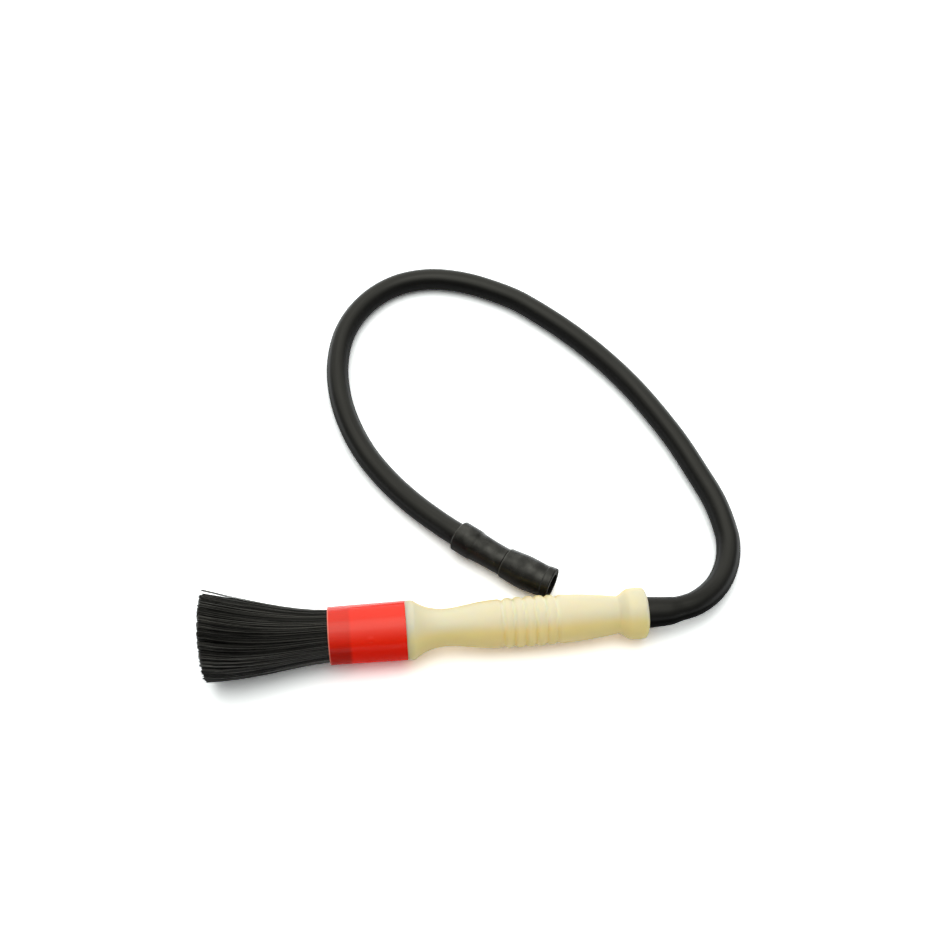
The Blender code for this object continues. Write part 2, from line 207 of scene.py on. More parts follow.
# One socket of a material's tree. Plus, minus, times, divide and power on it add a Math node, with a
# number or another socket on either side.
class Wire:
    def __init__(self, finish, socket):
        self.finish = finish
        self.socket = socket

    def maths(self, operation, first, second):
        return self.finish.node("Math", {"operation": operation}, {0: first, 1: second})

    def __add__(self, other):
        return self.maths("ADD", self, other)

    def __sub__(self, other):
        return self.maths("SUBTRACT", self, other)

    def __rsub__(self, other):
        return self.maths("SUBTRACT", other, self)

    def __mul__(self, other):
        return self.maths("MULTIPLY", self, other)

    def __truediv__(self, other):
        return self.maths("DIVIDE", self, other)

    def __pow__(self, other):
        return self.maths("POWER", self, other)

    __radd__ = __add__
    __rmul__ = __mul__


# A material or a world under construction
class Finish:
    def __init__(self, name, kind="materials"):
        self.owner = getattr(bpy.data, kind).new(name)
        self.owner.use_nodes = True
        self.tree = self.owner.node_tree
        self.tree.nodes.clear()

    # One node: its type, its settings, which are set first, and its sockets' values or links
    def node(self, kind, settings, sockets, output=0):
        made = self.tree.nodes.new("ShaderNode" + kind)
        for key, value in settings.items():
            setattr(made, key, value)
        for key, value in sockets.items():
            if isinstance(value, Wire):
                self.tree.links.new(value.socket, made.inputs[key])
            else:
                made.inputs[key].default_value = value
        return Wire(self, made.outputs[output]) if len(made.outputs) else None

    # The piece's own attribute, as a vector or, from the output Fac, as a number
    def attribute(self, name, output="Vector"):
        return self.node("Attribute", {"attribute_name": name}, {}, output)

    # One of a vector's three numbers
    def part(self, vector, axis):
        return self.node("SeparateXYZ", {}, {0: vector}, axis)

    # One on the upper side of a turned piece and zero on its underside, from the height of the point over
    # its distance from the piece's middle line. It places painted light above and painted shade below, and
    # a shine that is stronger above than on the dull underside.
    def upperSide(self, place, low=0.35, high=0.80):
        across, up = self.part(place, 0), self.part(place, 1)
        return self.step(up / (across * across + up * up) ** 0.5, low, high)

    # Noise that is stretched along each axis by one over its scale
    def noise(self, vector, scales, detail, roughness=0.5):
        placed = self.node("Mapping", {}, {"Vector": vector, "Scale": scales})
        sockets = {"Vector": placed, "Scale": 1.0, "Detail": detail, "Roughness": roughness}
        return self.node("TexNoise", {}, sockets)

    # Zero below low, one above high and smooth between them
    def step(self, value, low, high):
        settings = {"interpolation_type": "SMOOTHSTEP"}
        return self.node("MapRange", settings, {"Value": value, "From Min": low, "From Max": high})

    # The first colour where the factor is zero, the second where it is one. The node's colours go in at
    # sockets 6 and 7 and come out at 2.
    def mix(self, factor, first, second):
        ends = {6: first if isinstance(first, Wire) else (*first, 1.0)}
        ends[7] = second if isinstance(second, Wire) else (*second, 1.0)
        return self.node("Mix", {"data_type": "RGBA"}, {0: factor, **ends}, 2)

    # A normal that leans as if the surface rose by the height times the distance
    def bump(self, height, strength, distance):
        return self.node("Bump", {}, {"Height": height, "Strength": strength, "Distance": distance})

    # The finished material, from the values and links of its shader's sockets
    def surface(self, sockets):
        shader = self.node("BsdfPrincipled", {}, sockets)
        self.node("OutputMaterial", {}, {"Surface": shader})
        return self.owner


# Camera
cameraValues = {
    "place": (-0.0100, -0.3261, 0.6178),
    "degreesDown": 55.0,
    "degreesRight": 5.28,  # turned from +Y towards +X
    "lens": 50.0,
    "sensor": 36.0,
    "nearest": 0.01,
}


# It looks along +Y, tilted down and then turned to the right
def makeCamera():
    camera = bpy.data.objects.new("camera", bpy.data.cameras.new("camera"))
    camera.data.lens = cameraValues["lens"]
    camera.data.sensor_width = cameraValues["sensor"]
    camera.location = cameraValues["place"]
    tilt, turn = np.radians([90 - cameraValues["degreesDown"], -cameraValues["degreesRight"]])
    camera.rotation_euler = (tilt, 0.0, turn)
    camera.data.clip_start = cameraValues["nearest"]
    bpy.context.scene.collection.objects.link(camera)
    bpy.context.scene.camera = camera


# Hose
hoseValues = {
    "length": 0.608,  # from the handle's end face to its end in the sleeve
    "radius": 0.0065,
    "flareRadius": 0.0083,
    "flareShoulder": (0.0108, 0.0075),  # place and radius
    "flareEnd": 0.0192,
    "straight": 0.0112,  # how far it follows the handle's axis
    "insert": 0.0100,  # how far it goes into the sleeve
    "lip": 0.0011,  # rounding of its end at the handle
    "seatDepth": 0.0112,  # of the bore that holds the handle's spigot
    "seatGap": 0.0004,  # between the spigot and the bore
    "seatRound": 0.0004,  # chamfer at its bottom
    "seatMiddle": 0.0010,  # radius inside which the seat's bottom is closed with a fan
    "mouthDepth": 0.0006,  # over which its mouth widens, and by how much
    "mouthFlare": 0.0005,
    "tailRound": 0.0006,  # chamfer of its end in the sleeve
    "tailHold": 0.0008,  # how far before that end the even rings stop
    "ringStep": 0.0011,
    "lipSteps": 6,
    "sides": 64,
    "blacks": ((0.0020, 0.0020, 0.0020), (0.0045, 0.0045, 0.0045)),  # the two ends of its clouds
    "dustColour": (0.045, 0.045, 0.043),
    "dustAmount": 0.12,
    "handled": (0.02, 0.08),  # distances between which it turns from blackest to its own shine
}

# The hose's route from the handle's end face: how far along X and Y from the exit, and how far above
# the height at which the hose lies on the floor
hoseRoute = np.array([
    (0.0172, 0.0008, 0.0065), (0.0263, 0.0035, 0.0056), (0.0349, 0.0090, 0.0039),
    (0.0425, 0.0167, 0.0022), (0.0485, 0.0265, 0.0008), (0.0522, 0.0370, 0.0001),
    (0.0535, 0.0477, 0.0), (0.0514, 0.0686, 0.0), (0.0457, 0.0887, 0.0),
    (0.0353, 0.1189, 0.0), (0.0165, 0.1583, 0.0), (-0.0083, 0.1947, 0.0),
    (-0.0386, 0.2271, 0.0), (-0.0566, 0.2397, 0.0), (-0.0758, 0.2489, 0.0),
    (-0.0964, 0.2530, 0.0), (-0.1170, 0.2492, 0.0), (-0.1352, 0.2363, 0.0),
    (-0.1485, 0.2160, 0.0), (-0.1546, 0.1912, 0.0), (-0.1544, 0.1656, 0.0),
    (-0.1494, 0.1418, 0.0), (-0.1410, 0.1201, 0.0), (-0.1299, 0.1013, 0.0),
    (-0.1173, 0.0848, 0.0003), (-0.1038, 0.0699, 0.0013),
])  # fmt: skip


# Cloudy black with specks of dust. Its shine is brighter in wiped streaks and away from the handle.
def hoseFinish():
    finish = Finish("hose_black_rubber")
    place = finish.attribute("straight")
    wipe = finish.noise(place, (300, 300, 14), detail=3)
    cloud = finish.noise(place, (90, 90, 60), detail=4)
    grain = finish.noise(place, (3200, 3200, 1800), detail=2)
    specks = finish.noise(place, (1400, 1400, 1100), detail=4, roughness=0.6)
    dust = finish.step(specks, low=0.62, high=0.78)
    colour = finish.mix(cloud, *hoseValues["blacks"])
    colour = finish.mix(dust * hoseValues["dustAmount"], colour, hoseValues["dustColour"])
    handled = finish.step(finish.part(place, 2), *hoseValues["handled"])
    return finish.surface({
        "Base Color": colour,
        "Roughness": 0.46 + wipe * 0.12,
        "Specular IOR Level": 0.01,
        "Coat Weight": handled * 0.12 + finish.upperSide(place) * (0.28 + wipe * 0.54),
        "Coat Roughness": 0.32,
        "Normal": finish.bump(grain * 0.35 + wipe * 0.65, strength=0.18, distance=0.0004),
    })  # fmt: skip


# The hose's radius: evenly down to the flare's shoulder, then along half a cosine wave to the hose's own
def hoseRadius(distances):
    place, radius = hoseValues["flareShoulder"]
    flare = blend(hoseValues["flareRadius"], radius, np.clip(distances / place, 0, 1))
    share = np.clip((distances - place) / (hoseValues["flareEnd"] - place), 0, 1)
    return flare + (hoseValues["radius"] - radius) * (1 - np.cos(np.pi * share)) / 2


# The outline goes from the bottom of the spigot's seat out to the mouth, round a quarter circle onto the
# outside and along it to the chamfered tail
def makeHose(line, end):
    size = hoseValues
    along = np.linspace(0, end, int(end / size["ringStep"]) + 1)
    depth, lip, tail = size["seatDepth"], size["lip"], size["tailRound"]
    seat = handleValues["spigotRadius"] + size["seatGap"]
    inside = np.array([
        (depth, size["seatMiddle"]), (depth, seat - size["seatRound"]), (depth - size["seatRound"], seat),
        (size["mouthDepth"], seat), (0.0, seat + size["mouthFlare"]),
    ])  # fmt: skip
    quarter = np.linspace(0, np.pi / 2, size["lipSteps"])[1:]
    places = lip * (1 - np.sin(quarter))
    startLip = np.stack([places, size["flareRadius"] - lip * (1 - np.cos(quarter))], 1)[::-1]
    body = np.stack([along, hoseRadius(along)], 1)
    body = body[(along > lip) & (along < end - size["tailHold"])]
    endTail = np.array([(end - tail, size["radius"]), (end, size["radius"] - tail)])
    outline = np.concatenate([inside, startLip, body, endTail])
    hose = sweep("hose_tube", line, outline, size["sides"], hoseFinish(), closed=False)
    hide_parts("hose")
    return hose, placesOn(line, along)


# Sleeve and socket, and first what they share
fittingValues = {
    "edge": 0.0005,  # rounding of corners
    "sides": 96,
    "edgeHighlightReach": 0.0007,  # how far from an end the painted highlight on its edge reaches
    "edgeHighlightAbove": (0.0004, 0.0012),  # and how far outside the sleeve's seat and the socket's bore
    "blacks": ((0.003, 0.003, 0.003), (0.008, 0.008, 0.008)),
    # the painted edge highlight's colour and how much of it
    "edgeHighlightColour": (0.13, 0.13, 0.125),
    "paleAmount": 0.55,
}

# How far along X and Y from the hose's exit the sleeve starts, then its joint with the socket, the
# socket's end and a point beyond it
fittingRoute = np.array([(-0.0926, 0.0587), (-0.0692, 0.0393), (-0.0457, 0.0234), (-0.0359, 0.0190)])


# Cloudy black, patchily shiny above, with a painted pale highlight on the edge at each start and a dull
# flat rim
def fittingFinish():
    finish = Finish("fitting_grey_rubber")
    place = finish.attribute("straight")
    edge = finish.attribute("edge", "Fac")
    rim = finish.attribute("rim", "Fac")
    cloud = finish.noise(place, (160, 160, 160), detail=4)
    grain = finish.noise(place, (2400, 2400, 2400), detail=3, roughness=0.6)
    colour = finish.mix(cloud, *fittingValues["blacks"])
    colour = finish.mix(edge * fittingValues["paleAmount"], colour, fittingValues["edgeHighlightColour"])
    return finish.surface({
        "Base Color": colour,
        "Roughness": 0.50 + grain * 0.14 + rim * 0.25,
        "Specular IOR Level": 0.05,
        "Coat Weight": (0.06 + finish.upperSide(place) * (0.16 + cloud**2 * 1.9)) * (1 - rim * 0.85),
        "Coat Roughness": 0.26,
        "Normal": finish.bump(cloud * 0.6 + grain * 0.4, strength=0.3, distance=0.0005),
    })  # fmt: skip


# The painted edge highlight: one at a place on the outside, falling evenly to zero at its reach from it.
# Zero inside a radius.
def edgeHighlightMarks(outline, place, radius):
    near = np.abs(outline[:, 0] - place) / fittingValues["edgeHighlightReach"]
    return np.clip(1 - near, 0, 1) * (outline[:, 1] > radius)


sleeveValues = {
    "length": 0.0300,
    "wall": 0.0018,
    "gripLength": 0.0102,
    "stepLength": 0.0030,
    "waistRadius": 0.0080,
    "neckRadius": 0.0076,
    "spigotLength": 0.0070,
    "spigotRadius": 0.0052,
    "boreRadius": 0.0035,
    "gripSteps": 5,
    "stepSteps": 8,
    "neckSteps": 10,
    "insideSteps": 6,
}


# The outline: the even grip, the step and neck, the spigot that the socket is pushed on, its bore, and
# the seat round the hose
def makeSleeve(line, start):
    size = sleeveValues
    seat = hoseValues["radius"] + fits["gap"]
    wide = seat + size["wall"]
    grip = (start + size["gripLength"], wide)
    waist = (grip[0] + size["stepLength"], size["waistRadius"])
    neck = (start + size["length"], size["neckRadius"])
    stop = neck[0] + size["spigotLength"]
    seatEnd = start + hoseValues["insert"] + fits["gap"]
    steps = size["insideSteps"]
    outline = np.concatenate([
        np.linspace((start, wide), grip, size["gripSteps"]),
        easeTo(grip, waist, swell, size["stepSteps"]),
        easeTo(waist, neck, scoop, size["neckSteps"]),
        np.linspace((neck[0], size["spigotRadius"]), (stop, size["spigotRadius"]), steps),
        np.linspace((stop, size["boreRadius"]), (seatEnd, size["boreRadius"]), steps),
        np.linspace((seatEnd, seat), (start, seat), steps),
    ])  # fmt: skip
    outline = soften(outline, fittingValues["edge"])
    # Painted highlight on the outer edge at the sleeve's start
    paleEnd = edgeHighlightMarks(outline, start, seat + fittingValues["edgeHighlightAbove"][0])
    marks = {"edge": paleEnd, "rim": np.zeros(len(outline))}
    sleeve = sweep("sleeve_body", line, outline, fittingValues["sides"], fittingFinish(), marks=marks)
    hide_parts("hose_sleeve")
    return sleeve


socketValues = {
    "length": 0.0280,
    "boreRadius": 0.0055,
    "rearRadius": 0.0084,
    "belly": (0.0125, 0.0092),  # place behind the socket's start, and radius
    "waist": (0.0236, 0.0086),
    "beadRadius": 0.0089,
    "beadStep": 0.0004,
    "rimDepth": 0.0003,  # how far from its end the flat rim's dull finish reaches
    "curveSteps": 12,
    "beadSteps": 4,
    "boreSteps": 14,
}


# The outline: the round belly, the waist, the bead with its flat rim, and the bore
def makeSocket(line, start):
    size = socketValues
    end = start + size["length"]
    rear = (start, size["rearRadius"])
    belly = (start + size["belly"][0], size["belly"][1])
    waist = (start + size["waist"][0], size["waist"][1])
    bore, bead, steps = size["boreRadius"], size["beadRadius"], size["curveSteps"]
    outline = np.concatenate([
        [rear],
        easeTo(rear, belly, swell, steps),
        easeTo(belly, waist, swell, steps),
        np.linspace((waist[0] + size["beadStep"], bead), (end, bead), size["beadSteps"]),
        np.linspace((end, bore), (start, bore), size["boreSteps"]),
    ])  # fmt: skip
    outline = soften(outline, fittingValues["edge"])
    # Painted highlight on the outer edge at the socket's start
    paleEnd = edgeHighlightMarks(outline, start, bore + fittingValues["edgeHighlightAbove"][1])
    marks = {"edge": paleEnd, "rim": (outline[:, 0] > end - size["rimDepth"]) * 1.0}
    socket = sweep("socket_body", line, outline, fittingValues["sides"], fittingFinish(), marks=marks)
    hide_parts("inlet_socket")
    return socket


# The knots: along the handle's axis first, then the route, then the fittings' own level line
def hoseLine():
    start = axisStart + axisAhead * (handleValues["end"][0] + fits["gap"])
    straight = start + np.array([[0.0], [0.5], [1.0]]) * hoseValues["straight"] * axisAhead
    route = hoseRoute + (start[0], start[1], hoseValues["radius"])
    height = max(hoseValues["radius"] + fits["gap"] + sleeveValues["wall"], socketValues["belly"][1])
    level = np.column_stack([fittingRoute + start[:2], np.full(len(fittingRoute), height)])
    return smoothLine(np.concatenate([straight, route, level]))


# All three along one line: the sleeve starts at the fittings' first knot, the hose goes on into it by
# its insert, and the socket starts one gap behind the sleeve's end
def makeHoseAndFittings():
    line = hoseLine()
    sleeveStart = line["knotAlong"][-len(fittingRoute)]
    hoseEnd = sleeveStart + hoseValues["insert"]
    hose, hosePath = makeHose(line, hoseEnd)
    sleeve = makeSleeve(line, sleeveStart)
    socket = makeSocket(line, sleeveStart + sleeveValues["length"] + fits["gap"])
    print("Hose laid:", round(float(hoseEnd), 4), "m")


# Ferrule
ferruleValues = {
    "length": 0.0394,
    "mouthRadius": 0.0149,
    "rearRadius": 0.0153,
    "wall": 0.0010,
    "joint": 0.00005,  # between the ferrule and the handle's flange
    "gatePlace": -0.0181,
    "gateAngle": 131.8,  # degrees from +Y upwards and over to the near side
    "gateRadius": 0.0013,
    "gateHeight": 0.00020,
    "rings": 90,
    "sides": 240,
    "reds": ((0.94, 0.017, 0.002), (0.98, 0.022, 0.003)),  # the two ends of its clouds
    # painted shade: the darker red of the shaded underside
    "paintedShadeRed": (0.86, 0.011, 0.001),
    "rootRed": (0.22, 0.005, 0.002),  # where the roots behind the wall are seen
    "rootShade": (0.56, 0.44, 0.20),  # how dark the roots show there, how much lighter they are painted above as lit, and how much darker in streaks
    "rootFade": (0.0009, 0.0015),  # how far before and behind the setting the roots fade out
    "rootStreaks": 0.0016,  # how far streaks move that border
    "rimColour": (0.90, 0.34, 0.28),
    "rimAmount": 0.60,
    "rimFade": (0.0003, 0.0008),  # distances from the mouth between which the pale rim fades out
}


# Clouded red with a pale rim, and painted shade that darkens the underside's red. The black roots show
# through the wall as far as the cast setting, more so on the underside, where their band is darkened as
# painted shade.
def ferruleFinish():
    size = ferruleValues
    finish = Finish("ferrule_red_plastic")
    place = finish.attribute("straight")
    along = finish.part(place, 2)
    cloud = finish.noise(place, (120, 120, 60), detail=3)
    streaks = finish.noise(place, (1300, 1300, 70), detail=4, roughness=0.6)
    ripple = finish.noise(place, (260, 260, 90), detail=2)
    above = finish.upperSide(place)
    # The underside takes the darker red as painted shade
    colour = finish.mix(above, size["paintedShadeRed"], finish.mix(cloud, *size["reds"]))
    rootEnd = mouthPlace + tuftValues["rootDepth"]
    border = along + (streaks - 0.5) * size["rootStreaks"]
    roots = 1 - finish.step(border, rootEnd - size["rootFade"][0], rootEnd + size["rootFade"][1])
    # The roots' band is real, painted lighter above where light falls and darker on the shaded underside
    shade, paintedLightAbove, moreInStreaks = size["rootShade"]
    depth = shade - above * paintedLightAbove + streaks * moreInStreaks
    colour = finish.mix(roots * depth, colour, size["rootRed"])
    rim = 1 - finish.step(along, mouthPlace + size["rimFade"][0], mouthPlace + size["rimFade"][1])
    colour = finish.mix(rim * size["rimAmount"], colour, size["rimColour"])
    return finish.surface({
        "Base Color": colour,
        "Roughness": 0.42 + cloud * 0.08,
        "Specular IOR Level": 0.03,
        "Coat Weight": 0.03 + above * 0.76,
        "Coat Roughness": 0.17,
        "Subsurface Weight": 0.25,
        "Subsurface Radius": (1.0, 0.08, 0.03),
        "Subsurface Scale": 0.003,
        "Normal": finish.bump(ripple, strength=0.10, distance=0.0006),
    })  # fmt: skip


# The gate mark: a low round pad, its height falling off with the fourth power of the distance from its
# middle in gate radii
def gateMark(distances, angle, reach):
    around = (angle - np.radians(ferruleValues["gateAngle"])) * ferruleValues["mouthRadius"]
    away = np.hypot(distances - ferruleValues["gatePlace"], around) / ferruleValues["gateRadius"]
    outside = reach > ferruleValues["mouthRadius"] - ferruleValues["wall"] / 2
    return ferruleValues["gateHeight"] * np.exp(-(away**4)) * outside


# A slightly tapered tube from the mouth to the joint
def makeFerrule():
    size = ferruleValues
    rear, bore = -size["joint"], size["mouthRadius"] - size["wall"]
    outer = np.linspace((mouthPlace, size["mouthRadius"]), (rear, size["rearRadius"]), size["rings"])
    outline = soften(np.concatenate([outer, [(rear, bore), (mouthPlace, bore)]]), fits["edge"])
    ferrule = sweep("ferrule_shell", brushLine, outline, size["sides"], ferruleFinish(), shape=gateMark)
    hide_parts("ferrule")


# Handle. Pairs are a place and a radius.
handleValues = {
    "tenonLength": 0.0200,
    "flangeLength": 0.0043,
    "flangeRound": 0.0010,
    "flangeShoulder": 0.0004,
    "frontNeck": (0.0213, 0.0098),
    "grip": (0.0482, 0.01255),
    "gripEnd": 0.0795,
    "rearNeck": (0.1098, 0.0097),
    "rearNeckPower": 1.7,  # how late the grip narrows to the rear neck
    "collarStart": 0.1169,
    "collar": (0.1198, 0.01341),
    "collarEnd": 0.1226,
    "collarDrop": 0.00013,  # of its crest's two ends
    "end": (0.1247, 0.0115),
    "endPower": 2.8,  # how late the collar narrows to the end
    "ribCount": 5,
    "ribStart": 0.0498,
    "ribPitch": 0.00556,
    "ribHeight": 0.0010,
    "ribCrown": 0.0131,
    "ribEndDrop": 0.0004,  # how much lower the row's ends are
    "boreRadius": 0.00325,
    "spigotLength": 0.0105,
    "spigotRadius": 0.0046,
    "tubeSeatDepth": 0.0080,
    "tubeSeatRadius": 0.0043,
    "sharpDegrees": 25,
    "curveSteps": 36,
    "endSteps": 16,
    "ribSteps": 14,
    "sides": 160,
    # Painted light and shade: the lit and shaded ivories and the colours painted into the ribs' grooves
    "paintedLitIvory": ((0.80, 0.71, 0.53), (0.84, 0.75, 0.58)),  # the two ends of its clouds
    "paintedShadeIvory": ((0.97, 0.70, 0.32), (0.99, 0.76, 0.39)),
    "paintedLitFrom": (0.58, 0.95),  # heights over the radius where the painted lit colour begins and is full
    "paintedGrooveLight": (0.95, 0.90, 0.78),
    "paintedGrooveLightAmount": 0.6,
    "paintedGrooveShade": (0.90, 0.64, 0.26),
    "paintedGrooveShadeAmount": 0.14,
    "grooveMargin": 0.0005,  # how far past the row the grooves are marked
}


# Ivory with painted light and shade: paler where lit above and warmer where shaded below, with painted
# light filling the ribs' grooves above and painted shade deepening them below
def handleFinish():
    size = handleValues
    finish = Finish("handle_ivory_plastic")
    place = finish.attribute("straight")
    groove = finish.attribute("groove", "Fac")
    cloud = finish.noise(place, (70, 70, 22), detail=4)
    flow = finish.noise(place, (420, 420, 30), detail=3)
    grain = finish.noise(place, (2600, 2600, 2600), detail=2)
    pale = finish.upperSide(place, *size["paintedLitFrom"])
    # Painted light and shade: the lit colour above, the shaded colour below
    under = finish.mix(cloud, *size["paintedShadeIvory"])
    colour = finish.mix(pale, under, finish.mix(cloud, *size["paintedLitIvory"]))
    # Painted shade deepens the grooves below and painted light fills them above
    colour = finish.mix((1 - pale) * groove * size["paintedGrooveShadeAmount"], colour, size["paintedGrooveShade"])
    colour = finish.mix(pale * groove * size["paintedGrooveLightAmount"], colour, size["paintedGrooveLight"])
    return finish.surface({
        "Base Color": colour,
        "Roughness": 0.42 + flow * 0.16,
        "Specular IOR Level": 0.15,
        "Coat Weight": finish.upperSide(place) * 0.7,
        "Coat Roughness": 0.34,
        "Subsurface Weight": 1.0,
        "Subsurface Radius": (1.0, 0.8, 0.45),
        "Subsurface Scale": 0.017,
        "Normal": finish.bump(flow * 0.7 + grain * 0.12, strength=0.15, distance=0.0005),
    })  # fmt: skip


# A rib's radius is its crown, less its height times its depth, which is half of one less the cosine of
# pi times the square of how far across the rib a point is. The crowns fall off with the square of the
# distance from the row's middle.
def ribOutline():
    size = handleValues
    share = np.arange(size["ribCount"] * size["ribSteps"] + 1) / size["ribSteps"]
    across = np.abs((share % 1) * 2 - 1)
    fromMiddle = share / size["ribCount"] * 2 - 1
    crown = size["ribCrown"] - size["ribEndDrop"] * fromMiddle**2
    depth = (1 - np.cos(np.pi * across**2)) / 2
    places = size["ribStart"] + size["ribPitch"] * share
    return np.stack([places, crown - size["ribHeight"] * depth], 1), depth


# The outline: tenon, flange, front neck, ribbed grip, rear neck, collar, spigot, bore and the tube's seat
def makeHandle():
    size = handleValues
    tenon = ferruleValues["mouthRadius"] - ferruleValues["wall"] - fits["gap"]
    flangeRadius = ferruleValues["rearRadius"]
    flangeRear = (size["flangeLength"], flangeRadius - size["flangeShoulder"])
    gripEnd = (size["gripEnd"], size["grip"][1])
    crest = size["collar"][1] - size["collarDrop"]
    collarStart, collarEnd = (size["collarStart"], crest), (size["collarEnd"], crest)
    bore, seatRadius = size["boreRadius"], size["tubeSeatRadius"]
    front, seatPlace = -size["tenonLength"], size["tubeSeatDepth"] - size["tenonLength"]
    steps = size["curveSteps"]
    ribs, grooves = ribOutline()
    outline = np.concatenate([
        [(front, tenon), (0, tenon), (0, flangeRadius), (flangeEdge, flangeRadius), flangeRear],
        easeTo(flangeRear, size["frontNeck"], scoop, steps),
        easeTo(size["frontNeck"], size["grip"], swell, steps),
        ribs,
        [gripEnd],
        easeTo(gripEnd, size["rearNeck"], lambda share: share ** size["rearNeckPower"], steps),
        easeTo(size["rearNeck"], collarStart, swell, steps),
        [size["collar"], collarEnd],
        easeTo(collarEnd, size["end"], lambda share: share ** size["endPower"], size["endSteps"]),
        [(size["end"][0], size["spigotRadius"]), (spigotEnd, size["spigotRadius"])],
        [(spigotEnd, bore), (seatPlace, bore), (seatPlace, seatRadius), (front, seatRadius)],
    ])  # fmt: skip
    outline = soften(outline, fits["edge"], size["sharpDegrees"])
    places = outline[:, 0]
    inRow = (places > ribs[0, 0] - size["grooveMargin"]) & (places < ribs[-1, 0] + size["grooveMargin"])
    marks = {"groove": np.interp(places, ribs[:, 0], grooves) * inRow}
    handle = sweep("handle_body", brushLine, outline, size["sides"], handleFinish(), marks=marks)
    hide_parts("handle")


# Bristles and the cast slice that holds their roots
tuftValues = {
    "rootDepth": 0.0110,  # how far the cast setting lies inside the ferrule's mouth
    "backing": 0.0020,  # how thick the slice is
    "backingEdge": 0.0002,
    "backingSides": 96,
    "rootRadius": 0.01355,
    "holeRadius": 0.0043,
    "holeGap": 0.0003,  # between the hole's wall and the nearest roots
    "reach": 0.0648,
    "tipHalfWidth": 0.0223,  # of the bundle at the tips
    "tipLift": 0.0084,  # how far its middle rises above the axis there
    "tipFloorGap": 0.0012,  # between its lowest tips and the floor
    "widenPower": 1.5,  # how late the bundle widens, and rises
    "risePower": 2.2,
    "arcDepth": 0.0018,  # how much shorter the outermost strands end
    "scatter": 0.0009,  # how much shorter single strands and whole clumps end, at most
    "clumpScatter": 0.0010,
    "strands": 5000,
    "strandJitter": 0.02,  # chance turn of a strand about the bundle's middle, in radians
    "thickness": 0.00034,
    "steps": 9,
    "tipHole": 0.10,  # the hollow left at the tips, as a share of the radius
    "clumps": 2400,
    "clumpJitter": 0.3,
    "clumpPull": 0.42,  # how far strands lean towards their clump's middle, as a share of the distance
    "clumpPullRange": (0.4, 1.3),
    "clumpStray": 0.026,  # how far a clump strays, as a share of the radius
    "leanPower": 1.6,  # how late both begin
    "wander": 0.016,  # the height of a strand's waves, and how many it has
    "wanderWaves": (0.3, 0.9),
    "strayOffset": 0.10,  # how far a few loose strands end outside the bundle, as a share of its radius
    "strayTowards": (-0.574, 0.819),  # where they are on the bundle's edge, down and across
    "strayBeyond": 0.986,  # only strands farther out that way than this share of the radius are loose
    "strayPower": 3,  # how late they leave it
    "seed": 11,
    "black": (0.002, 0.002, 0.002),
    "grey": (0.036, 0.035, 0.032),  # of the palest strands
    "clumpTone": 0.12,  # how much of a strand's tone is its clump's
    "tipGrey": (0.040, 0.038, 0.035),  # of the tips
    "tipFrom": 0.96,
    "paleAmount": 0.12,
    "castBrowns": ((0.010, 0.008, 0.006), (0.040, 0.030, 0.020)),
}


# Black to grey by the strand's own tone and a little by its clump's, and paler at the tip. The palest
# strands shine most.
def bristleFinish():
    size = tuftValues
    finish = Finish("bristle_nylon")
    strand = finish.attribute("strand")
    tone, reach, clump = [finish.part(strand, axis) for axis in range(3)]
    grey = tone**4 * (1 - size["clumpTone"]) + clump * size["clumpTone"]
    colour = finish.mix(grey, size["black"], size["grey"])
    paleEnd = finish.step(reach, size["tipFrom"], 1.0) * size["paleAmount"]
    colour = finish.mix(paleEnd, colour, size["tipGrey"])
    return finish.surface({
        "Base Color": colour,
        "Roughness": 0.34 + tone * 0.16,
        "Specular IOR Level": 0.16,
        "Coat Weight": tone**3 * 1.6,
        "Coat Roughness": 0.30,
    })  # fmt: skip


# Clouded dark brown
def backingFinish():
    finish = Finish("cast_backing")
    cloud = finish.noise(finish.attribute("straight"), (900, 900, 900), detail=4)
    return finish.surface({
        "Base Color": finish.mix(cloud, *tuftValues["castBrowns"]),
        "Roughness": 0.35 + cloud * 0.2,
        "Normal": finish.bump(cloud, strength=0.4, distance=0.0002),
    })  # fmt: skip


# Even places in a disc, as shares of its area and directions: the k-th point's share is k over the
# count, and it is turned by the golden angle from the one before, and a little more or less by chance
def discPlaces(count, jitter, chance):
    number = np.arange(count) + 0.5
    angle = number * np.pi * (3 - 5**0.5) + chance.normal(0, jitter, count)
    return number / count, np.stack([np.cos(angle), np.sin(angle)], -1)


# A strand's middle at a share of the tuft's reach: its place in the round bundle, times the bundle's
# half width and half height there. The bundle widens with a power of a sine wave, and rises and
# thickens with a power of the share.
def bundlePlaces(across, down, share):
    size = tuftValues
    radius = size["thickness"] / 2
    tipHeight = axisHeight(tipPlace) + size["tipLift"] - size["tipFloorGap"]
    widening = np.sin(np.pi / 2 * share) ** size["widenPower"]
    rising = share ** size["risePower"]
    width = blend(size["rootRadius"], size["tipHalfWidth"], widening) - radius
    height = blend(size["rootRadius"], tipHeight, rising) - radius
    place = mouthPlace - size["reach"] * share
    points = axisStart + place[..., None] * axisAhead
    below = down * height - size["tipLift"] * rising
    return points + below[..., None] * axisDown + (across * width)[..., None] * axisSide


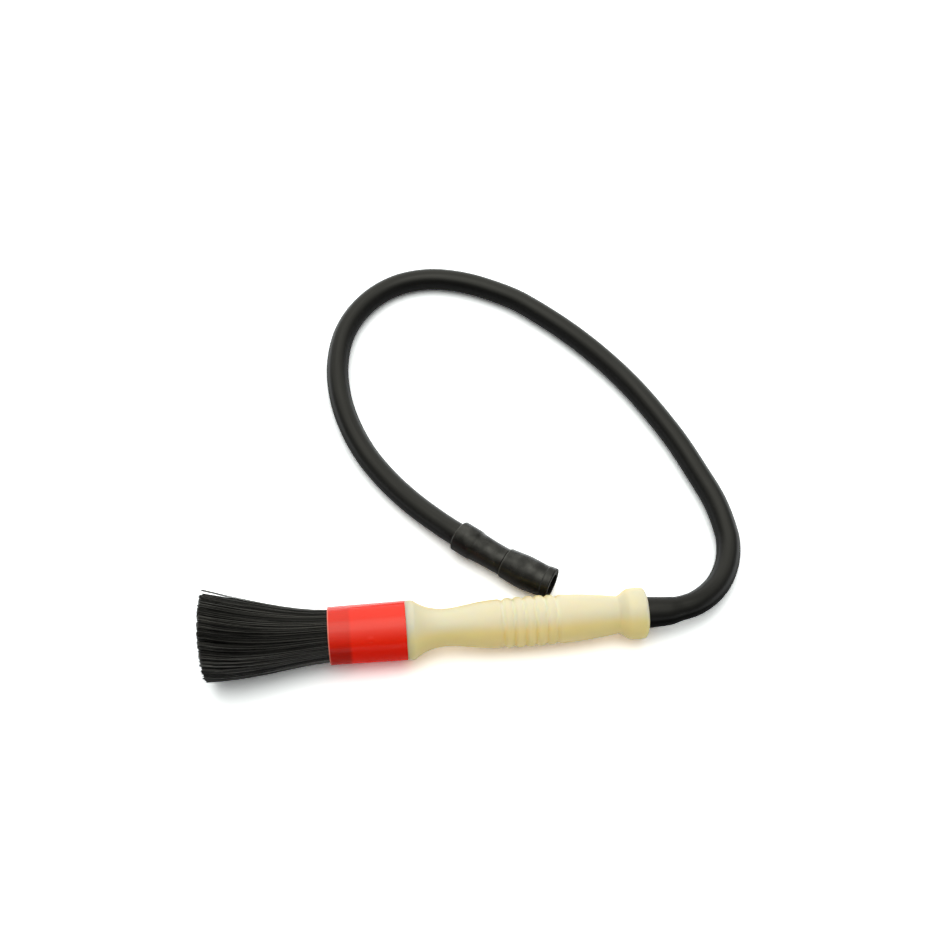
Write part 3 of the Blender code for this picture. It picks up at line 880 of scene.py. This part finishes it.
# The strands' middle lines. A strand's place in the bundle goes evenly from the roots' disc to the tips'
# disc. It leans towards the middle of the nearest clump and strays with that clump, both by a power of
# the distance along it, and wanders along part of a sine wave. Past the bundle's edge it is drawn back to
# it, and a few loose strands are moved out again.
def strandLines(chance):
    size = tuftValues
    count, clumps = size["strands"], size["clumps"]
    share, direction = discPlaces(count, size["strandJitter"], chance)
    rootHole = (size["holeRadius"] + size["holeGap"]) / size["rootRadius"]
    rootShare = np.sqrt(blend(rootHole**2, 1, share))
    tipShare = np.sqrt(blend(size["tipHole"] ** 2, 1, share))
    tips = tipShare[:, None] * direction
    clumpShare, clumpDirection = discPlaces(clumps, size["clumpJitter"], chance)
    clumpMiddle = np.sqrt(clumpShare)[:, None] * clumpDirection
    own = np.linalg.norm(tips[:, None] - clumpMiddle[None], axis=-1).argmin(1)
    pull = size["clumpPull"] * chance.uniform(*size["clumpPullRange"], clumps)[own]
    stray = chance.normal(0, size["clumpStray"], (clumps, 2))[own]
    shortBy = size["scatter"] * chance.random(count)
    shortBy += size["clumpScatter"] * chance.random(clumps)[own]
    reach = 1 - (size["arcDepth"] * share + shortBy) / size["reach"]
    along = np.linspace(0, 1, size["steps"])[None, :] * reach[:, None]
    middle = direction[:, None] * blend(rootShare[:, None], tipShare[:, None], along)[..., None]
    drift = pull[:, None] * (clumpMiddle[own] - tips) + stray
    middle = middle + drift[:, None] * (along ** size["leanPower"])[..., None]
    phase = chance.random((count, 1, 2))
    waves = chance.uniform(*size["wanderWaves"], (count, 1, 1))
    wave = np.sin(2 * np.pi * (phase + along[..., None] * waves)) - np.sin(2 * np.pi * phase)
    middle = middle + size["wander"] * wave * along[..., None]
    middle = middle / np.maximum(np.linalg.norm(middle, axis=-1, keepdims=True), 1)
    loose = tips @ np.array(size["strayTowards"]) > size["strayBeyond"]
    middle[loose] *= 1 + size["strayOffset"] * along[loose, :, None] ** size["strayPower"]
    return bundlePlaces(middle[..., 1], middle[..., 0], along), along, own


# Strands of four sides round their lines, each turned by chance: a corner is the line's point, plus the
# radius times the cosine of its angle sideways and the sine upwards. Their attribute holds the strand's
# own tone, the share of the reach, and its clump's tone.
def makeBristles():
    size = tuftValues
    chance = np.random.default_rng(size["seed"])
    line, along, own = strandLines(chance)
    # Each strand starts at the front of the cast slice, inside the ferrule
    root = line[:, :1] + axisAhead * (size["rootDepth"] - size["backing"])
    line = np.concatenate([root, line], 1)
    count, rows = line.shape[:2]
    sideways, upwards = crossings(unit(np.gradient(line, axis=1)))
    turn = chance.uniform(0, np.pi / 2, (count, 1, 1, 1)) + np.arange(4)[None, None, :, None] * np.pi / 2
    off = np.cos(turn) * sideways[:, :, None] + np.sin(turn) * upwards[:, :, None]
    points = line[:, :, None] + size["thickness"] / 2 * off
    numbers = np.arange(rows * 4).reshape(rows, 4)
    walls = np.array(gridFaces(rows, 4, False))
    caps = np.stack([numbers[0][::-1], numbers[-1]])
    tone = chance.random(count)[:, None]
    clumpTone = chance.random(size["clumps"])[own][:, None]
    shareAlong = np.concatenate([np.zeros((count, 1)), along], 1)
    strand = np.stack(np.broadcast_arrays(tone, shareAlong, clumpTone), -1)
    strand = np.repeat(strand[:, :, None], 4, 2)
    finish = bristleFinish()
    halves = {"bristles_inner": slice(0, count // 2), "bristles_outer": slice(count // 2, count)}
    for name, half in halves.items():
        some = points[half]
        offset = (np.arange(len(some)) * rows * 4)[:, None, None]
        faces = np.concatenate([(part[None] + offset).reshape(-1, 4) for part in (walls, caps)])
        values = {"strand": strand[half].reshape(-1, 3)}
        piece = makePiece(name, some, faces.tolist(), finish, values, flatFaces=2 * len(some))
        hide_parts("bristle_tuft")


# A flat ring from the hole's radius to the roots'
def makeBacking():
    size = tuftValues
    rear = mouthPlace + size["rootDepth"]
    front = rear - size["backing"]
    outer, inner = size["rootRadius"], size["holeRadius"]
    outline = soften([(front, outer), (rear, outer), (rear, inner), (front, inner)], size["backingEdge"])
    backing = sweep("root_backing", brushLine, outline, size["backingSides"], backingFinish())
    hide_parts("bristle_tuft")


# Inner pieces, which keep their solids
innerValues = {
    "resin": ((0.46, 0.33, 0.15), (0.62, 0.48, 0.26)),  # the two ends of its clouds
    "tube": ((0.62, 0.62, 0.58), (0.76, 0.76, 0.72)),  # and of its lines
}


# Clouded resin with bubbles
def resinFinish():
    finish = Finish("cast_resin")
    place = finish.node("TexCoord", {}, {}, "Object")
    cloud = finish.noise(place, (260, 260, 260), detail=4)
    bubbles = finish.step(finish.noise(place, (1500, 1500, 1500), detail=1), low=0.66, high=0.74)
    return finish.surface({
        "Base Color": finish.mix(cloud, *innerValues["resin"]),
        "Roughness": 0.26 + cloud * 0.2,
        "Normal": finish.bump(bubbles, strength=0.4, distance=0.0003),
    })  # fmt: skip


# Natural plastic with drawn lines along it
def tubeFinish():
    finish = Finish("flow_tube_plastic")
    lines = finish.noise(finish.node("TexCoord", {}, {}, "Object"), (40, 900, 900), detail=3)
    return finish.surface({
        "Base Color": finish.mix(lines, *innerValues["tube"]),
        "Roughness": 0.30 + lines * 0.2,
        "Normal": finish.bump(lines, strength=0.2, distance=0.0003),
    })  # fmt: skip


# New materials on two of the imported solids
def dressInside():
    for nodeName, finish in (("setting_plug", resinFinish()), ("flow_tube", tubeFinish())):
        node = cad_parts[nodeName]
        node.data.materials.clear()
        node.data.materials.append(finish)


# Floor and light
roomValues = {
    "colour": (1.0, 0.995, 0.88),  # of the tent and the panel
    "floorColour": (0.82, 0.78, 0.77),
    "floorSeen": (1.63, 1.69, 1.88),  # the brighter floor that the camera and reflections see
    "floorSize": 60.0,
    "floorDrop": 0.0002,  # how far it lies under the brush
    "tentTop": 1.9,  # strength of the soft light overhead, which falls off evenly to all sides
    "tentTowards": (0.12, 0.99),  # its brightest direction, along Y and Z
    "tentPower": 3.2,
    "tentBack": 0.95,  # strength of the pale wall behind the brush
    "tentBackFrom": (0.45, 0.95),  # where it begins and is full, as the Y part of the direction
    "tentEven": 0.12,  # strength of the light that comes from everywhere
    "horizon": (0.10, 0.22),  # heights between which the white backdrop ends
    "panelPlace": (0.02, 0.10, 1.20),  # above the brush, facing straight down
    "panelSize": (1.0, 0.9),
    "panelWatts": 1.7,
}


# One where the camera, a reflection or glass looks at the surface, and zero for other light
def seen(finish):
    names = ("Is Camera Ray", "Is Glossy Ray", "Is Transmission Ray")
    camera, glossy, through = [finish.node("LightPath", {}, {}, name) for name in names]
    return finish.node("Math", {"operation": "ADD", "use_clamp": True}, {0: camera + glossy, 1: through})


# A flat square whose colour is brighter where it is seen than where it lights the brush
def makeFloor():
    half = roomValues["floorSize"] / 2
    corners = np.array([(-half, -half), (half, -half), (half, half), (-half, half)])
    mesh = bpy.data.meshes.new("floor")
    mesh.from_pydata(np.column_stack([corners, np.full(4, -roomValues["floorDrop"])]), [], [(0, 1, 2, 3)])
    floor = bpy.data.objects.new("floor", mesh)
    bpy.context.scene.collection.objects.link(floor)
    finish = Finish("floor_white")
    colour = finish.mix(seen(finish), roomValues["floorColour"], roomValues["floorSeen"])
    finish.node("OutputMaterial", {}, {"Surface": finish.node("BsdfDiffuse", {}, {"Color": colour})})
    mesh.materials.append(finish.owner)


# A flat light overhead that the camera doesn't see
def makePanel():
    lamp = bpy.data.objects.new("soft_panel", bpy.data.lights.new("soft_panel", "AREA"))
    lamp.data.shape = "RECTANGLE"
    lamp.data.size, lamp.data.size_y = roomValues["panelSize"]
    lamp.data.energy = roomValues["panelWatts"]
    lamp.data.color = roomValues["colour"]
    lamp.location = roomValues["panelPlace"]
    lamp.visible_camera = False
    bpy.context.scene.collection.objects.link(lamp)


# The light tent: a power of the cosine of the angle from its brightest direction, plus the wall behind
# and an even light from all sides. Low down, the camera and reflections see a white backdrop instead.
def makeTent():
    tent = Finish("light_tent", "worlds")
    towards = tent.node("TexCoord", {}, {}, "Generated")
    depth, height = tent.part(towards, 1), tent.part(towards, 2)
    topDepth, topHeight = roomValues["tentTowards"]
    facing = depth * topDepth + height * topHeight
    facing = tent.node("Math", {"operation": "MAXIMUM"}, {0: facing, 1: 0.0})
    light = facing ** roomValues["tentPower"] * roomValues["tentTop"] + roomValues["tentEven"]
    light = light + tent.step(depth, *roomValues["tentBackFrom"]) * roomValues["tentBack"]
    white = seen(tent) * (1 - tent.step(height, *roomValues["horizon"]))
    strength = light + (1 - light) * white
    colour = tent.mix(white, roomValues["colour"], (1, 1, 1))
    background = tent.node("Background", {}, {"Color": colour, "Strength": strength})
    tent.node("OutputWorld", {}, {"Surface": background})
    bpy.context.scene.world = tent.owner


# The brush's axis leans by the angle that lets the flange's rear edge and the collar touch the floor: its
# tangent is their difference in radius over their distance
flangeEdge = handleValues["flangeLength"] - handleValues["flangeRound"]
collarPlace, collarRadius = handleValues["collar"]
lean = np.arctan((ferruleValues["rearRadius"] - collarRadius) / (collarPlace - flangeEdge))
mouthPlace = -fits["gap"] - ferruleValues["length"]
tipPlace = mouthPlace - tuftValues["reach"]
spigotEnd = handleValues["end"][0] + handleValues["spigotLength"]
axisAhead = np.array([np.cos(lean), 0.0, -np.sin(lean)])
axisDown = np.array([-np.sin(lean), 0.0, -np.cos(lean)])
axisSide = np.array([0.0, 1.0, 0.0])


# The axis's height above the floor: the flange's radius at its edge, less the lean's fall beyond it
def axisHeight(place):
    return ferruleValues["rearRadius"] * np.cos(lean) + (flangeEdge - place) * np.sin(lean)


# The axis's point at place zero, which puts the middle of the bare brush over the origin. Its line runs
# past both ends of the brush.
axisStart = np.array([-(tipPlace + spigotEnd) / 2 * np.cos(lean), 0.0, axisHeight(0)])
axisEnds = np.array([-0.3, 0.3])
brushLine = {"points": axisStart + axisEnds[:, None] * axisAhead, "along": axisEnds}

makeCamera()
print("Camera placed")

makeHoseAndFittings()

makeFerrule()
makeHandle()
print("Ferrule and handle turned")

makeBristles()
makeBacking()
print("Bristles grown:", tuftValues["strands"])

dressInside()
print("Inner pieces dressed")

makeFloor()
makePanel()
makeTent()
bpy.context.scene.view_settings.view_transform = "Standard"
print("Floor and light set")
